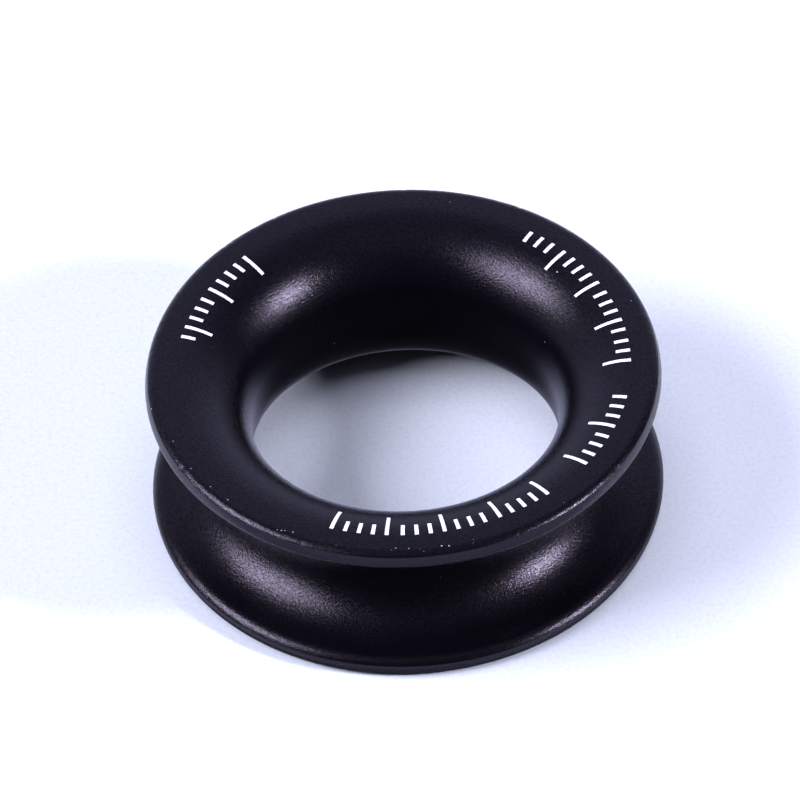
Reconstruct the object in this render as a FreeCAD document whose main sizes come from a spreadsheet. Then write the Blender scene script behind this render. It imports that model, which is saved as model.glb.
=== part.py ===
import FreeCAD, Part
import os

import Sketcher
from FreeCAD import Vector

# Loop thimble, also called a low friction ring, turned as one piece from
# aluminium bar. A rope runs through the bore, over its two rounded mouths,
# and the strop or lashing that holds the ring lies in the groove around it.
# The ring's axis is Z and its lower face lies on Z = 0. Lengths are in mm.

os.makedirs("parts", exist_ok=True)
doc = FreeCAD.newDocument("loop_thimble")

# Driving sizes, one row each: alias, value, what it measures
size_rows = [
    ("bore_diameter", 20.0, "hole for the running rope, where its wall is straight"),
    ("bore_straight", 1.9, "length of the straight wall between the two rounded mouths"),
    ("web_thickness", 1.78, "wall between the bore and the bottom of the groove"),
    ("groove_radius", 4.3, "section radius of the groove's round bottom"),
    ("groove_flank", 0.05, "straight flank between the round bottom and the lip"),
    ("lip_round", 0.67, "rounding of each rim on its groove side"),
    ("rim_land", 0.08, "straight band around the outside of each rim"),
    ("rim_round", 0.7, "rounding of each rim on its face side"),
]

sizes = doc.addObject("Spreadsheet::Sheet", "sizes")
for row, (alias, value, meaning) in enumerate(size_rows, start=1):
    sizes.set(f"A{row}", alias)
    sizes.set(f"B{row}", str(value))
    sizes.set(f"C{row}", meaning)
    sizes.setAlias(f"B{row}", alias)
doc.recompute()

# Sizes that follow from the driving ones. The same text binds a dimension
# and gives its first value, so that the two can't disagree.
bore_radius = "sizes.bore_diameter / 2"
groove_centre = f"{bore_radius} + sizes.web_thickness + sizes.groove_radius"
outer_radius = f"{groove_centre} + sizes.groove_flank + sizes.lip_round"
rim_thickness = "sizes.lip_round + sizes.rim_land + sizes.rim_round"
mid_height = f"sizes.groove_radius + {rim_thickness}"
ring_height = f"2 * ({mid_height})"
mouth_radius = f"{mid_height} - sizes.bore_straight / 2"

tolerance = 1e-4    # for telling one edge from another


def size_of(expression):
    """Value of a size expression, in millimetres."""
    return float(sizes.evalExpression(expression))


def origin_feature(body, role):
    """The body's own origin plane or axis with this role."""
    for feature in body.Origin.OriginFeatures:
        if feature.Role == role:
            return feature
    raise ValueError(f"{body.Name} has no {role}")


def section_sketch(body, name):
    """Empty sketch through the ring's axis: X is the radius, Y the height."""
    sketch = body.newObject("Sketcher::SketchObject", name)
    sketch.AttachmentSupport = (origin_feature(body, "XZ_Plane"), [""])
    sketch.MapMode = "FlatFace"
    return sketch


def add_line(sketch, start, end):
    """Add a straight line and return its number in the sketch."""
    return sketch.addGeometry(Part.LineSegment(start, end), False)


def relate(sketch, kind, *references):
    """Add a constraint that has no size, such as Horizontal or Tangent."""
    sketch.addConstraint(Sketcher.Constraint(kind, *references))


def bind(sketch, kind, references, name, expression):
    """Add a named dimension to the sketch and bind it to the sheet."""
    index = sketch.addConstraint(Sketcher.Constraint(kind, *references, size_of(expression)))
    sketch.renameConstraint(index, name)
    sketch.setExpression(f"Constraints.{name}", expression)


def turn(body, kind, name, sketch):
    """Turn the section a full circle about the axis, to add or to cut."""
    feature = body.newObject(kind, name)
    feature.Profile = sketch
    feature.ReferenceAxis = (sketch, ["V_Axis"])
    feature.Angle = 360.0
    doc.recompute()
    return feature


def circle_names(shape, radius, height):
    """Names of the shape's circular edges with this radius, at this height."""
    names = []
    for number, edge in enumerate(shape.Edges, start=1):
        if not isinstance(edge.Curve, Part.Circle):
            continue
        at_height = edge.Curve.Center.distanceToPoint(Vector(0, 0, height)) < tolerance
        if at_height and abs(edge.Curve.Radius - radius) < tolerance:
            names.append(f"Edge{number}")
    return names


def round_circles(body, name, edge_radius, heights, expression):
    """Round the edges of one radius that lie at these heights."""
    base = body.Tip
    names = []
    for height in heights:
        found = circle_names(base.Shape, edge_radius, height)
        if len(found) != 1:
            raise ValueError(f"{name}: {len(found)} edges at height {height}")
        names += found
    feature = body.newObject("PartDesign::Fillet", name)
    feature.Base = (base, names)
    feature.Radius = size_of(expression)
    feature.setExpression("Radius", expression)
    doc.recompute()
    return feature


ring = doc.addObject("PartDesign::Body", "thimble_ring")
ring.Label = "thimble_ring"
doc.recompute()

# Bored and faced blank: a plain thick washer
bore_r = size_of(bore_radius)
outer_r = size_of(outer_radius)
top_z = size_of(ring_height)
blank_section = section_sketch(ring, "blank_section")
bottom = add_line(blank_section, Vector(bore_r, 0, 0), Vector(outer_r, 0, 0))
outside = add_line(blank_section, Vector(outer_r, 0, 0), Vector(outer_r, top_z, 0))
top = add_line(blank_section, Vector(outer_r, top_z, 0), Vector(bore_r, top_z, 0))
inside = add_line(blank_section, Vector(bore_r, top_z, 0), Vector(bore_r, 0, 0))
for line, following in ((bottom, outside), (outside, top), (top, inside), (inside, bottom)):
    relate(blank_section, "Coincident", line, 2, following, 1)
for line in (bottom, top):
    relate(blank_section, "Horizontal", line)
for line in (outside, inside):
    relate(blank_section, "Vertical", line)
relate(blank_section, "PointOnObject", bottom, 1, -1)
bind(blank_section, "DistanceX", (-1, 1, bottom, 1), "bore_wall", bore_radius)
bind(blank_section, "DistanceX", (-1, 1, bottom, 2), "outside_wall", outer_radius)
bind(blank_section, "DistanceY", (bottom, 1, top, 2), "face_to_face", ring_height)
blank = turn(ring, "PartDesign::Revolution", "blank", blank_section)
blank_volume = blank.Shape.Volume

# Groove for the strop: a half circle in section, carried outwards by two
# parallel flanks that run past the outside of the blank
centre = Vector(size_of(groove_centre), size_of(mid_height), 0)
groove_r = size_of("sizes.groove_radius")
up = Vector(0, groove_r, 0)
deepest = centre - Vector(groove_r, 0, 0)
clear_point = Vector(outer_r + groove_r, centre.y, 0)
groove_section = section_sketch(ring, "groove_section")
round_bottom = groove_section.addGeometry(Part.Arc(centre + up, deepest, centre - up), False)
lower_flank = add_line(groove_section, centre - up, clear_point - up)
open_side = add_line(groove_section, clear_point - up, clear_point + up)
upper_flank = add_line(groove_section, clear_point + up, centre + up)
relate(groove_section, "Tangent", round_bottom, 2, lower_flank, 1)
relate(groove_section, "Coincident", lower_flank, 2, open_side, 1)
relate(groove_section, "Coincident", open_side, 2, upper_flank, 1)
relate(groove_section, "Tangent", upper_flank, 2, round_bottom, 1)
relate(groove_section, "Horizontal", lower_flank)
relate(groove_section, "Horizontal", upper_flank)
relate(groove_section, "Vertical", open_side)
bind(groove_section, "Radius", (round_bottom,), "bottom_radius", "sizes.groove_radius")
bind(groove_section, "DistanceX", (-1, 1, round_bottom, 3), "centre_radius", groove_centre)
bind(groove_section, "DistanceY", (-1, 1, round_bottom, 3), "centre_height", mid_height)
bind(groove_section, "DistanceX", (-1, 1, open_side, 1), "clear_of_rim",
     f"{outer_radius} + sizes.groove_radius")
groove = turn(ring, "PartDesign::Groove", "strop_groove", groove_section)
if groove.Shape.Volume > 0.99 * blank_volume:
    raise ValueError("the groove doesn't cut the blank")

# Rounded mouths of the bore, so large that only a narrow straight wall is
# left between them, then the small rounds that break the rims' corners
rim = size_of(rim_thickness)
round_circles(ring, "bore_mouths", bore_r, (0, top_z), mouth_radius)
round_circles(ring, "rim_rounds", outer_r, (0, top_z), "sizes.rim_round")
round_circles(ring, "lip_rounds", outer_r, (rim, top_z - rim), "sizes.lip_round")

# Every feature and sketch must have worked before anything is written
for item in doc.Objects:
    if "Invalid" in item.State or "Error" in item.State:
        raise ValueError(f"{item.Name} failed: {item.State}")
for sketch in (blank_section, groove_section):
    if sketch.solve() != 0 or not sketch.FullyConstrained:
        raise ValueError(f"{sketch.Name} isn't fully constrained")

shape = ring.Shape
if shape.isNull() or not shape.isValid() or len(shape.Solids) != 1:
    raise ValueError(f"{ring.Label} isn't one sound solid")
shape.exportStep(f"parts/{ring.Label}.step")
box = shape.optimalBoundingBox(False)
print(f"{ring.Label}: {box.XLength:.2f} x {box.YLength:.2f} x {box.ZLength:.2f} mm, "
      f"volume {shape.Volume:.0f} mm3, {len(shape.Faces)} faces")
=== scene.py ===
import math
import random

import bmesh
import bpy
from mathutils import Matrix, Vector, kdtree


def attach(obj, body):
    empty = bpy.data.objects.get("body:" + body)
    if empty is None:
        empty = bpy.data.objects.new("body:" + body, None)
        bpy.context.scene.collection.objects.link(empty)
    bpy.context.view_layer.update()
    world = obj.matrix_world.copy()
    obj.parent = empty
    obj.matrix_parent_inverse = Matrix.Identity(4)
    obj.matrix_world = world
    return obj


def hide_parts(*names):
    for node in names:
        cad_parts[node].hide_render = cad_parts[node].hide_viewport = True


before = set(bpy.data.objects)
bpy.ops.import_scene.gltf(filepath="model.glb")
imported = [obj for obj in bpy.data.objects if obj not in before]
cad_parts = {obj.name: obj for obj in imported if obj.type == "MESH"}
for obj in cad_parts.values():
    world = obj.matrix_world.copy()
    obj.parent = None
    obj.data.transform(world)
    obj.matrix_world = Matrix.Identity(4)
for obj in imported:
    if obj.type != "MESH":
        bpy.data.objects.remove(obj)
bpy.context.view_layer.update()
mm = 0.001                       # lengths below are in millimetres, Blender works in metres


def inMetres(lengths):
    return [length * mm for length in lengths]


# The ring's section, and how finely it is turned
ring = {
    "boreRadius": 10.0,
    "boreLow": 4.8,           # the bore's straight wall runs from this height to the next
    "boreHigh": 6.7,
    "mouthRadius": 4.8,
    "faceEnd": 16.058,        # each flat face ends at this radius, and its rim starts
    # each rim from its face to the groove: radius of the round, the degrees its
    # normal points up at its start and at its end, and how many steps it takes
    "rimRounds": [
        (0.70, 90, 42, 6),
        (0.15, 42, 26, 2),
        (1.75, 26, 6, 4),
        (0.12, 6, -25, 3),
        (0.934, -25, -88.1, 7),
    ],
    "grooveCentre": 16.08,    # the groove's round is centred on this radius, half way up
    "grooveTurn": 176.2,      # degrees of that round, from rim to rim
    "height": 11.5,
    "mouthSteps": 24,
    "grooveSteps": 30,
    "sectors": 12,            # one sector is turned, and the others are its copies
    "sectorSteps": 60,        # half a degree each
    "mergeWithin": 0.001,
}


def startPen(bm, radius, height):
    return bm.verts.new(Vector((radius, 0, height)) * mm)


def lineTo(bm, pen, radius, height):
    made = bmesh.ops.extrude_vert_indiv(bm, verts=[pen])["verts"][0]
    made.co = Vector((radius, 0, height)) * mm
    return made


def arcTo(bm, pen, centre, degrees, steps):
    # goes clockwise as seen from the front, and the other way with a minus sign
    made = bmesh.ops.spin(
        bm, geom=[pen], cent=Vector((centre[0], 0, centre[1])) * mm, axis=(0, 1, 0),
        angle=math.radians(degrees), steps=steps)
    return [item for item in made["geom_last"] if isinstance(item, bmesh.types.BMVert)][0]


def roundOff(bm, pen, radius, startUp, endUp, steps):
    # a convex round that starts at the pen, where the surface faces startUp degrees above level
    up = math.radians(startUp)
    at = pen.co / mm
    centre = (at.x - radius * math.cos(up), at.z - radius * math.sin(up))
    return arcTo(bm, pen, centre, startUp - endUp, steps)


def drawSection(bm):
    # from the bore over the upper mouth, face and rim, through the groove and back below
    mouth, top = ring["mouthRadius"], ring["height"]
    mouthAt = ring["boreRadius"] + mouth
    pen = startPen(bm, ring["boreRadius"], ring["boreLow"])
    pen = lineTo(bm, pen, ring["boreRadius"], ring["boreHigh"])
    pen = arcTo(bm, pen, (mouthAt, ring["boreHigh"]), 90, ring["mouthSteps"])
    pen = lineTo(bm, pen, ring["faceEnd"], top)
    for radius, startUp, endUp, steps in ring["rimRounds"]:
        pen = roundOff(bm, pen, radius, startUp, endUp, steps)
    pen = arcTo(bm, pen, (ring["grooveCentre"], top / 2), -ring["grooveTurn"], ring["grooveSteps"])
    for radius, startUp, endUp, steps in reversed(ring["rimRounds"]):
        pen = roundOff(bm, pen, radius, -endUp, -startUp, steps)
    pen = lineTo(bm, pen, mouthAt, 0)
    arcTo(bm, pen, (mouthAt, ring["boreLow"]), 90, ring["mouthSteps"])
    bmesh.ops.remove_doubles(bm, verts=bm.verts, dist=ring["mergeWithin"] * mm)
    widest = max(vert.co.x for vert in bm.verts) / mm
    print("section drawn, widest radius", round(widest, 3))


# Plain index strokes etched on the upper mouth
marks = {
    # first and last angle of each run in degrees, counted anticlockwise from the right
    "runs": [(133, 165), (-1, 53), (-39, -14), (-110, -53)],
    "pitch": 3.5,             # degrees between two strokes, as nearly as the run allows
    "halfWidth": 0.5,         # degrees too
    "longEvery": 4,
    "outer": 14.95,           # radius at which all strokes end
    "innerLong": 13.05,
    "innerShort": 13.95,
    "below": 1.0,             # how far under the upper face they may reach
    "depth": 0.03,
    "wall": 0.01,
}


def markFaces(bm):
    # the faces of each stroke, which lies on the nearest step of the ring
    step = 360 / (ring["sectors"] * ring["sectorSteps"])
    strokes = []
    for first, last in marks["runs"]:
        count = round((last - first) / marks["pitch"])
        for n in range(count + 1):
            angle = first + (last - first) * n / count
            inner = marks["innerLong"] if n % marks["longEvery"] == 0 else marks["innerShort"]
            strokes.append((round(angle / step) * step, inner))
    lowest = ring["height"] - marks["below"]
    chosen = []
    for face in bm.faces:
        place = face.calc_center_median() / mm
        radius = math.hypot(place.x, place.y)
        if place.z < lowest or not marks["innerLong"] < radius < marks["outer"]:
            continue
        angle = math.degrees(math.atan2(place.y, place.x))
        for at, inner in strokes:
            away = (angle - at + 180) % 360 - 180
            if abs(away) < marks["halfWidth"] and radius > inner:
                chosen.append(face)
                break
    return chosen


def etchMarks(bm):
    strokes = markFaces(bm)
    for face in strokes:
        face.material_index = 1
    walls = bmesh.ops.inset_region(
        bm, faces=strokes, thickness=marks["wall"] * mm, depth=-marks["depth"] * mm,
        use_even_offset=True, use_boundary=True)["faces"]
    for face in walls:
        face.material_index = 1
        for edge in face.edges:
            edge.smooth = False
    print("strokes etched,", len(strokes), "faces")


# Little dents of use along the rims' corners
nicks = {
    "seed": 7,
    # radius and height of the corner, and how many it has
    "rows": [(16.5, 11.36, 46), (16.6, 10.25, 16), (16.6, 1.25, 14), (16.5, 0.14, 18)],
    "scatter": (-0.12, 0.05),    # added to the radius
    "reach": (0.14, 0.30),
    "depth": (0.008, 0.028),
    "fall": 0.5,                 # a lower value gives a flatter bottom and a steeper edge
}


def nickRims(bm):
    # each dent pushes the points near it in, towards the metal
    dice = random.Random(nicks["seed"])
    tree = kdtree.KDTree(len(bm.verts))
    for n, vert in enumerate(bm.verts):
        tree.insert(vert.co, n)
    tree.balance()
    bm.verts.ensure_lookup_table()
    for radius, height, count in nicks["rows"]:
        up = 1 if height < ring["height"] / 2 else -1
        for n in range(count):
            angle = dice.uniform(0, 2 * math.pi)
            out = Vector((math.cos(angle), math.sin(angle), 0))
            spot = out * (radius + dice.uniform(*nicks["scatter"])) * mm + Vector((0, 0, height * mm))
            reach = dice.uniform(*nicks["reach"]) * mm
            depth = dice.uniform(*nicks["depth"]) * mm
            inward = -out + Vector((0, 0, up))
            for co, index, away in tree.find_range(spot, reach):
                fall = (1 - away / reach) ** nicks["fall"]
                bm.verts[index].co = co + inward.normalized() * depth * fall
    print("rims nicked")


def makeRing():
    bm = bmesh.new()
    drawSection(bm)
    sector = math.radians(360 / ring["sectors"])
    bmesh.ops.spin(
        bm, geom=bm.verts[:] + bm.edges[:], cent=(0, 0, 0), axis=(0, 0, 1),
        angle=sector, steps=ring["sectorSteps"])
    bmesh.ops.spin(
        bm, geom=bm.verts[:] + bm.edges[:] + bm.faces[:], cent=(0, 0, 0), axis=(0, 0, 1),
        angle=sector * (ring["sectors"] - 1), steps=ring["sectors"] - 1, use_duplicate=True)
    bmesh.ops.remove_doubles(bm, verts=bm.verts, dist=ring["mergeWithin"] * mm)
    bmesh.ops.recalc_face_normals(bm, faces=bm.faces)
    for face in bm.faces:
        face.smooth = True
    etchMarks(bm)
    nickRims(bm)
    print("ring turned,", len(bm.faces), "faces")
    mesh = bpy.data.meshes.new("thimbleRing")
    bm.to_mesh(mesh)
    bm.free()
    made = bpy.data.objects.new("thimbleRing", mesh)
    bpy.context.scene.collection.objects.link(made)
    return made


def newMaterial(name):
    material = bpy.data.materials.new(name)
    material.use_nodes = True
    tree = material.node_tree
    return material, tree, tree.nodes["Principled BSDF"]


def join(tree, source, target):
    # a socket is linked, and anything else is set as the target's own value
    if isinstance(source, bpy.types.NodeSocket):
        tree.links.new(source, target)
    else:
        target.default_value = source


def sums(tree, operation, *values):
    node = tree.nodes.new("ShaderNodeMath")
    node.operation = operation
    for value, target in zip(values, node.inputs):
        join(tree, value, target)
    return node.outputs["Value"]


def spread(tree, value, limits, results, kind="LINEAR"):
    # takes what lies between the limits to what lies between the results
    node = tree.nodes.new("ShaderNodeMapRange")
    node.interpolation_type = kind
    names = ("Value", "From Min", "From Max", "To Min", "To Max")
    for name, given in zip(names, (value, *limits, *results)):
        join(tree, given, node.inputs[name])
    return node.outputs["Result"]


def band(tree, value, limits, height):
    # rises softly from nothing to the height between the limits
    return spread(tree, value, limits, (0.0, height), "SMOOTHSTEP")


def cloud(tree, place, size, detail, roughness):
    node = tree.nodes.new("ShaderNodeTexNoise")
    join(tree, place, node.inputs["Vector"])
    node.inputs["Scale"].default_value = 1 / (size * mm)
    node.inputs["Detail"].default_value = detail
    node.inputs["Roughness"].default_value = roughness
    return node.outputs["Fac"]


def relief(tree, height, depth, under=None):
    node = tree.nodes.new("ShaderNodeBump")
    node.inputs["Distance"].default_value = depth * mm
    join(tree, height, node.inputs["Height"])
    if under is not None:
        join(tree, under, node.inputs["Normal"])
    return node.outputs["Normal"]


def blend(tree, factor, low, high):
    node = tree.nodes.new("ShaderNodeMix")
    node.data_type = "RGBA"
    join(tree, factor, node.inputs["Factor"])
    join(tree, low, node.inputs[6])      # the colours A and B
    join(tree, high, node.inputs[7])
    return node.outputs[2]


def combine(tree, x, y, z):
    node = tree.nodes.new("ShaderNodeCombineXYZ")
    for value, target in zip((x, y, z), node.inputs):
        join(tree, value, target)
    return node.outputs["Vector"]


# Hard black anodising over a lathe-turned and lightly etched surface. A pattern is
# given by its size, detail and roughness, and tones are the part of it that is used.
blackFinish = {
    "dye": (0.0016, 0.0013, 0.0024, 1.0),
    # the rims' outer bands are painted lighter: a painted reflection of the pale floor, along with dye
    # worn away by use
    "rubbedSheenDye": (0.021, 0.019, 0.026, 1.0),
    "rubbedSheenFrom": (16.56, 16.62),   # the rims' outer bands carry the painted floor reflection and rubbed wear from this radius on
    "upperRim": (8.0, 9.0),         # heights that tell the upper rim from the lower
    "lowerRubbedSheen": (1.08, 1.0),       # on the lower rim the painted floor reflection and rubbed wear lie only below this height
    "rubbedSheenTones": (0.3, 0.7),
    "rubbedSheenShares": (0.7, 1.0),     # how much of the painted reflection and wear shows in the grain's pits and on its tops
    "roughness": (0.24, 0.29),      # polished by handling, and fresh
    "handling": (3.5, 3, 0.5),
    "handlingTones": (0.3, 0.7),
    "ior": 1.42,
    "shineInPits": (0.26, 0.22, 0.25, 1.0),
    "shineOnGrains": (1.0, 0.84, 0.99, 1.0),
    "shineTones": (0.40, 0.60),
    "shineShares": (0.7, 0.3),      # how much of the shine follows the grain, and the streaks
    "grain": (0.12, 2, 0.6),
    "grainDepth": 0.018,
    "streaks": (0.10, 1, 0.5),
    "streakLength": 4.0,            # times their width, round the ring
    "streakRadius": 16.0,           # where they have that length
    "streakDepth": 0.010,
}

# Chips through to the metal, one at most in each cell of a pattern
chips = {
    "bareMetal": (0.30, 0.29, 0.32, 1.0),
    "spacing": 0.26,
    "size": 0.13,                   # share of the spacing
    "onFaces": 0.003,               # share of the cells that have a chip
    "onRims": 0.012,
    "onCorner": 0.6,
    "rims": (16.0, 16.25),          # from the faces to the rims
    "corner": (15.82, 16.0, 16.12, 16.3),    # where a face meets its rim's round
    # the side where the left lamp's glints fall; the extra chips there are painted glints over real
    # wear
    "wornLitSide": 243,                # degrees round from the right
    "wornLitReach": (9.5, 13.5),       # how far towards that side the chips and their painted glints start, and are full
}


def placesOn(tree):
    place = tree.nodes.new("ShaderNodeTexCoord").outputs["Object"]
    split = tree.nodes.new("ShaderNodeSeparateXYZ")
    join(tree, place, split.inputs["Vector"])
    east, north, height = split.outputs
    radius = sums(tree, "SQRT", sums(tree, "ADD", sums(tree, "MULTIPLY", east, east),
                                     sums(tree, "MULTIPLY", north, north)))
    return {"place": place, "east": east, "north": north, "height": height, "radius": radius}


def grainOn(tree, shader, at):
    # streaks from the lathe tool run round the ring under the etched grain
    finish = blackFinish
    around = sums(tree, "ARCTAN2", at["north"], at["east"])
    unrolled = sums(tree, "MULTIPLY", around, finish["streakRadius"] * mm / finish["streakLength"])
    streaks = cloud(tree, combine(tree, at["radius"], unrolled, at["height"]), *finish["streaks"])
    grain = cloud(tree, at["place"], *finish["grain"])
    turned = relief(tree, streaks, finish["streakDepth"])
    join(tree, relief(tree, grain, finish["grainDepth"], turned), shader.inputs["Normal"])

    byGrain, byStreaks = finish["shineShares"]
    shiny = sums(tree, "ADD", spread(tree, grain, finish["shineTones"], (0.0, byGrain)),
                 spread(tree, streaks, finish["shineTones"], (0.0, byStreaks)))
    tint = blend(tree, shiny, finish["shineInPits"], finish["shineOnGrains"])
    join(tree, tint, shader.inputs["Specular Tint"])
    return grain


def chipsOn(tree, at, onUpperRim):
    # rare on the faces, more on the rims, and most along the corner of the upper face on its lit left
    # front side, where the crowded chips are wear with painted glints
    wornLitAngle = math.radians(chips["wornLitSide"])
    towards = sums(tree, "ADD", sums(tree, "MULTIPLY", at["east"], math.cos(wornLitAngle)),
                   sums(tree, "MULTIPLY", at["north"], math.sin(wornLitAngle)))
    wornLitPart = band(tree, towards, inMetres(chips["wornLitReach"]), 1.0)
    knockedAndLit = sums(tree, "MULTIPLY", wornLitPart, onUpperRim)
    start, full, fade, end = inMetres(chips["corner"])
    onCorner = sums(tree, "SUBTRACT", band(tree, at["radius"], (start, full), chips["onCorner"]),
                    band(tree, at["radius"], (fade, end), chips["onCorner"]))
    elsewhere = spread(tree, at["radius"], inMetres(chips["rims"]), (chips["onFaces"], chips["onRims"]))
    often = sums(tree, "ADD", sums(tree, "MULTIPLY", knockedAndLit, onCorner), elsewhere)

    cells = tree.nodes.new("ShaderNodeTexVoronoi")
    join(tree, at["place"], cells.inputs["Vector"])
    cells.inputs["Scale"].default_value = 1 / (chips["spacing"] * mm)
    lot = tree.nodes.new("ShaderNodeSeparateColor")
    join(tree, cells.outputs["Color"], lot.inputs["Color"])
    widest = sums(tree, "MULTIPLY", lot.outputs["Green"], 2 * chips["size"])
    small = sums(tree, "LESS_THAN", cells.outputs["Distance"], widest)
    return sums(tree, "MULTIPLY", small, sums(tree, "LESS_THAN", lot.outputs["Red"], often))


def blackAnodise():
    finish = blackFinish
    material, tree, shader = newMaterial("blackAnodise")
    at = placesOn(tree)
    onUpperRim = band(tree, at["height"], inMetres(finish["upperRim"]), 1.0)
    nearFloor = band(tree, at["height"], inMetres(finish["lowerRubbedSheen"]), 1.0)
    grain = grainOn(tree, shader, at)

    handled = cloud(tree, at["place"], *finish["handling"])
    polish = spread(tree, handled, finish["handlingTones"], finish["roughness"])
    join(tree, polish, shader.inputs["Roughness"])

    # painted reflection of the floor on the rims' outer bands, mixed with rubbed wear, lightens the dye
    # there
    onRubbedSheen = sums(tree, "MULTIPLY", band(tree, at["radius"], inMetres(finish["rubbedSheenFrom"]), 1.0),
                  sums(tree, "ADD", onUpperRim, nearFloor))
    patchy = spread(tree, grain, finish["rubbedSheenTones"], finish["rubbedSheenShares"])
    wearAndSheen = sums(tree, "MULTIPLY", onRubbedSheen, patchy)
    dyeWearAndSheen = blend(tree, wearAndSheen, finish["dye"], finish["rubbedSheenDye"])
    chip = chipsOn(tree, at, onUpperRim)
    join(tree, blend(tree, chip, dyeWearAndSheen, chips["bareMetal"]), shader.inputs["Base Color"])

    shader.inputs["IOR"].default_value = finish["ior"]
    print("black anodise mixed")
    return material


# Bare etched metal at the bottom of the strokes
whiteFinish = {
    "colour": (0.82, 0.82, 0.84, 1.0),
    "pitted": (0.62, 0.62, 0.66, 1.0),
    "pits": (0.10, 2, 0.6),         # size, detail and roughness
    "pitTones": (0.45, 0.7),
    "pitDepth": 0.015,
    "roughness": (0.55, 0.8),
    "roughTones": (0.3, 0.7),
}


def etchedWhite():
    finish = whiteFinish
    material, tree, shader = newMaterial("etchedWhite")
    place = tree.nodes.new("ShaderNodeTexCoord").outputs["Object"]
    pits = cloud(tree, place, *finish["pits"])
    deep = spread(tree, pits, finish["pitTones"], (0.0, 1.0))
    join(tree, blend(tree, deep, finish["colour"], finish["pitted"]), shader.inputs["Base Color"])
    dull = spread(tree, pits, finish["roughTones"], finish["roughness"])
    join(tree, dull, shader.inputs["Roughness"])
    join(tree, relief(tree, pits, finish["pitDepth"]), shader.inputs["Normal"])
    print("etched white mixed")
    return material


# White paper under the ring. It is one floor in three parts, so that the ring
# mirrors only the part that the photographed one does.
floor = {
    "colour": (0.65, 0.66, 0.672, 1.0),
    "fleckColour": (0.59, 0.60, 0.63, 1.0),
    "flecks": (0.30, 3, 0.6),       # size, detail and roughness
    "fleckTones": (0.45, 0.7),
    "fleckDepth": 0.02,
    "roughness": 0.9,
    "shine": 0.2,
    "radius": 3000,
    "discRadius": 17.3,             # the part under the ring isn't mirrored
    "frontLine": -17,               # nor is what lies in front of this line
    "sides": 64,
}


def palePaper():
    material, tree, shader = newMaterial("palePaper")
    place = tree.nodes.new("ShaderNodeTexCoord").outputs["Object"]
    flecks = cloud(tree, place, *floor["flecks"])
    toned = spread(tree, flecks, floor["fleckTones"], (0.0, 1.0))
    join(tree, blend(tree, toned, floor["colour"], floor["fleckColour"]), shader.inputs["Base Color"])
    join(tree, relief(tree, flecks, floor["fleckDepth"]), shader.inputs["Normal"])
    shader.inputs["Roughness"].default_value = floor["roughness"]
    shader.inputs["Specular IOR Level"].default_value = floor["shine"]
    return material


def makeFloorPart(name, paper, mirrored, side):
    # the disc for side 0, and else what lies around it, behind the line (1) or in front (-1)
    bm = bmesh.new()
    bmesh.ops.create_circle(
        bm, cap_ends=side == 0, radius=floor["discRadius"] * mm, segments=floor["sides"])
    if side != 0:
        bmesh.ops.create_circle(bm, radius=floor["radius"] * mm, segments=floor["sides"])
        bmesh.ops.bridge_loops(bm, edges=bm.edges[:])
        bmesh.ops.bisect_plane(
            bm, geom=bm.verts[:] + bm.edges[:] + bm.faces[:], clear_outer=True,
            plane_co=(0, floor["frontLine"] * mm, 0), plane_no=(0, -side, 0))
    bmesh.ops.recalc_face_normals(bm, faces=bm.faces)
    print(name, "laid,", len(bm.faces), "faces")
    mesh = bpy.data.meshes.new(name)
    bm.to_mesh(mesh)
    bm.free()
    mesh.materials.append(paper)
    part = bpy.data.objects.new(name, mesh)
    bpy.context.scene.collection.objects.link(part)
    part.visible_glossy = mirrored


def makeFloor():
    paper = palePaper()
    makeFloorPart("boreFloor", paper, False, 0)
    makeFloorPart("paleFloor", paper, True, 1)
    makeFloorPart("frontFloor", paper, False, -1)


# A dim room with a pale wall at the back, a slightly lighter ceiling and soft boxes
lighting = {
    "roomColour": (0.96, 1.0, 1.50, 1.0),
    "room": 0.04,
    "wall": 0.64,
    "wallFrom": (0.35, 0.85),       # how much of the direction points backwards
    "ceiling": 0.22,
    "ceilingFrom": (0.70, 1.0),     # and upwards
    "boxColour": (0.96, 1.0, 1.25),
    # name, degrees round from the right, degrees up, distance, width, height, power,
    # and whether the ring mirrors it
    "boxes": [
        ("softBoxLeft", 189, 40.5, 1600, 950, 680, 37, True),
        ("softBoxRight", -18.6, 28.0, 1600, 190, 210, 28, True),
        ("softBoxAbove", 90, 88, 1600, 1100, 1100, 11, False),
    ],
}


def makeBox(name, around, up, distance, width, height, power, mirrored):
    light = bpy.data.lights.new(name, "AREA")
    light.shape = "RECTANGLE"
    light.size = width * mm
    light.size_y = height * mm
    light.energy = power
    light.color = lighting["boxColour"]
    box = bpy.data.objects.new(name, light)
    box.visible_glossy = mirrored
    bpy.context.scene.collection.objects.link(box)
    around, up = math.radians(around), math.radians(up)
    level = math.cos(up)
    towards = Vector((level * math.cos(around), level * math.sin(around), math.sin(up)))
    box.location = towards * distance * mm
    box.rotation_euler = towards.to_track_quat("Z", "Y").to_euler()


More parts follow.
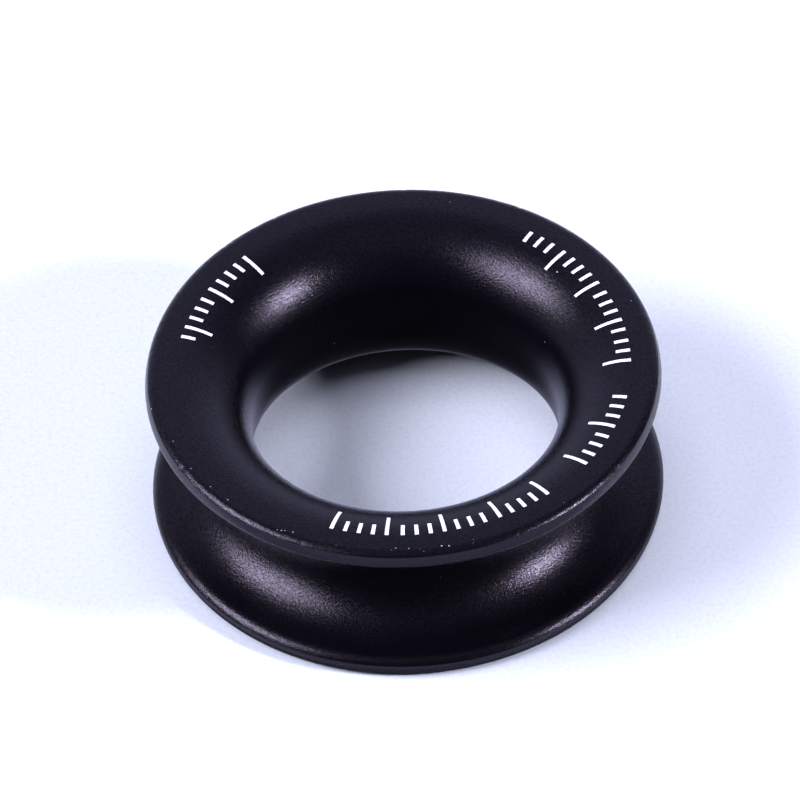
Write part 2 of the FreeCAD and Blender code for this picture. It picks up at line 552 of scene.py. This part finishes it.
def makeLights():
    world = bpy.data.worlds.new("studioRoom")
    bpy.context.scene.world = world
    world.use_nodes = True
    tree = world.node_tree
    room = tree.nodes["Background"]
    way = tree.nodes.new("ShaderNodeSeparateXYZ")
    join(tree, tree.nodes.new("ShaderNodeTexCoord").outputs["Generated"], way.inputs["Vector"])
    wall = band(tree, way.outputs["Y"], lighting["wallFrom"], lighting["wall"])
    ceiling = band(tree, way.outputs["Z"], lighting["ceilingFrom"], lighting["ceiling"])
    total = sums(tree, "ADD", lighting["room"], sums(tree, "ADD", wall, ceiling))
    join(tree, total, room.inputs["Strength"])
    room.inputs["Color"].default_value = lighting["roomColour"]
    for row in lighting["boxes"]:
        makeBox(*row)
    print("lights hung,", len(lighting["boxes"]), "boxes")


camera = {
    "elevation": 46.204,
    "roll": -2.755,
    "distance": 624.892,
    "lens": 430.9,
    "sensor": 36.0,
    "offRight": 0.367,        # the ring's centre lies this far right of the view's middle
    "offDown": 1.894,
    "clipStart": 10,
    "clipEnd": 20000,
}


def makeCamera():
    tilt, turn = math.radians(camera["elevation"]), math.radians(camera["roll"])
    flatDown = Vector((0, -math.sin(tilt), -math.cos(tilt)))
    ahead = Vector((0, math.cos(tilt), -math.sin(tilt)))
    flatRight = Vector((1, 0, 0))
    right = math.cos(turn) * flatRight - math.sin(turn) * flatDown
    down = math.sin(turn) * flatRight + math.cos(turn) * flatDown
    centre = Vector((0, 0, ring["height"] / 2)) * mm
    seen = centre - (camera["offRight"] * right + camera["offDown"] * down) * mm
    place = seen - ahead * camera["distance"] * mm
    data = bpy.data.cameras.new("studioCamera")
    data.lens = camera["lens"]
    data.sensor_width = camera["sensor"]
    data.clip_start = camera["clipStart"] * mm
    data.clip_end = camera["clipEnd"] * mm
    made = bpy.data.objects.new("studioCamera", data)
    bpy.context.scene.collection.objects.link(made)
    made.matrix_world = Matrix((
        (right.x, -down.x, -ahead.x, place.x),
        (right.y, -down.y, -ahead.y, place.y),
        (right.z, -down.z, -ahead.z, place.z),
        (0, 0, 0, 1)))
    bpy.context.scene.camera = made
    print("camera placed")


thimble = makeRing()
thimble.data.materials.append(blackAnodise())
thimble.data.materials.append(etchedWhite())
weighted = thimble.modifiers.new("evenShading", "WEIGHTED_NORMAL")
weighted.keep_sharp = True
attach(thimble, "root")
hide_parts("thimble_ring")

makeFloor()
makeLights()
makeCamera()
bpy.context.scene.view_settings.view_transform = "Standard"
